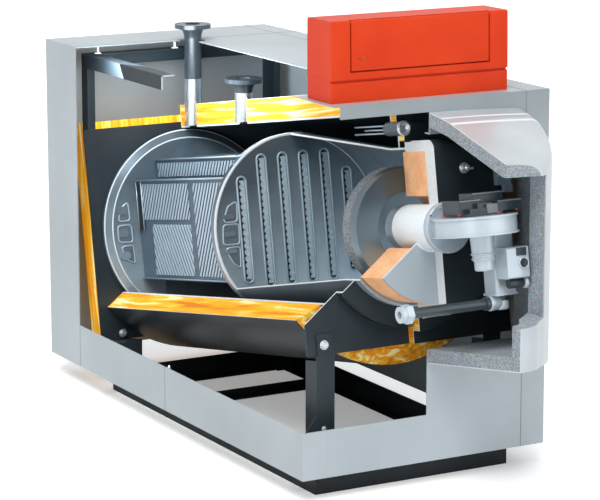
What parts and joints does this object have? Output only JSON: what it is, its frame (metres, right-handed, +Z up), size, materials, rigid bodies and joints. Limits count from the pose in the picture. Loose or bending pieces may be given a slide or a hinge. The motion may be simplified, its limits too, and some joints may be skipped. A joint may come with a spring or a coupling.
{
  "type": "sectioned industrial boiler",
  "caption": "Cutaway gas boiler: leaning water shell with fire chamber and flat gas passages, burner door, fan burner, foam hood, sheet casing and control unit.",
  "frame": {"origin": "on the floor, at the middle of the whole length and width", "axes": "+Z up, -Y out of the burner front, +X to the right seen from the front"},
  "size_m": [1.1, 3.061, 1.8286],
  "materials": {
    "plinth_black": "matt black paint",
    "casing_silver": "satin silver paint",
    "frame_black": "satin black paint",
    "body_dark_steel": "satin dark grey paint",
    "wool_yellow": "mineral wool, cut and faced",
    "bright_steel": "bright rolled steel",
    "pipe_black": "black paint over bright steel",
    "flue_steel": "rolled steel",
    "fibre_white": "pressed ceramic fibre",
    "refractory_orange": "fired refractory",
    "ring_grey": "rough heat-proof casting",
    "burner_silver": "cast and painted",
    "gas_pipe_black": "satin black paint",
    "box_black": "moulded",
    "hood_silver": "satin silver",
    "foam_grey": "speckled bonded foam",
    "control_red": "satin moulded"
  },
  "bodies": {
    "boiler": {"plinth_sides": "plinth_black", "plinth_ends": "plinth_black", "plinth_crossbar": "plinth_black", "left_front_panel": "casing_silver", "left_rear_panel": "casing_silver", "right_front_panel": "casing_silver", "right_rear_panel": "casing_silver", "rear_panel": "casing_silver", "front_lower_panel": "casing_silver", "front_upper_panel": "casing_silver", "top_front_panel": "casing_silver", "top_middle_panel": "casing_silver", "top_rear_panel": "casing_silver", "frame_posts": "frame_black", "frame_rails": "frame_black", "frame_cross_rail": "frame_black", "legs": "frame_black", "vessel_shell": "body_dark_steel", "front_plate": "body_dark_steel", "front_cover": "body_dark_steel", "rear_plate": "body_dark_steel", "shell_jacket": "body_dark_steel", "door_shell": "body_dark_steel", "shell_insulation": "wool_yellow", "front_insulation": "wool_yellow", "rear_insulation": "wool_yellow", "combustion_chamber": "bright_steel", "front_tube_plate": "bright_steel", "rear_tube_plate": "bright_steel", "outer_gas_passages": "bright_steel", "inner_gas_passages": "bright_steel", "blast_tube": "bright_steel", "sensor_tube": "bright_steel", "door_backing": "bright_steel", "flow_pipe": "pipe_black", "return_pipe": "pipe_black", "flue_collar": "flue_steel", "door_fibre": "fibre_white", "refractory_front": "refractory_orange", "refractory_back": "refractory_orange", "flame_ring": "ring_grey", "burner_flange": "burner_silver", "fan_housing": "burner_silver", "fan_lid": "burner_silver", "burner_motor": "burner_silver", "gas_block": "burner_silver", "gas_valve": "burner_silver", "gas_nut": "burner_silver", "gas_pipe": "gas_pipe_black", "burner_box": "box_black", "hood_skin": "hood_silver", "hood_foam": "foam_grey", "control_base": "control_red", "control_unit": "control_red"},
    "flap": {"control_flap": "control_red"}
  },
  "joints": [
    {"name": "flap_hinge", "type": "hinge", "parent": "boiler", "child": "flap", "pos_m": [0, -0.81572, 1.82044], "axis": [-1, 0, 0], "range_deg": [0, 95]}
  ]
}
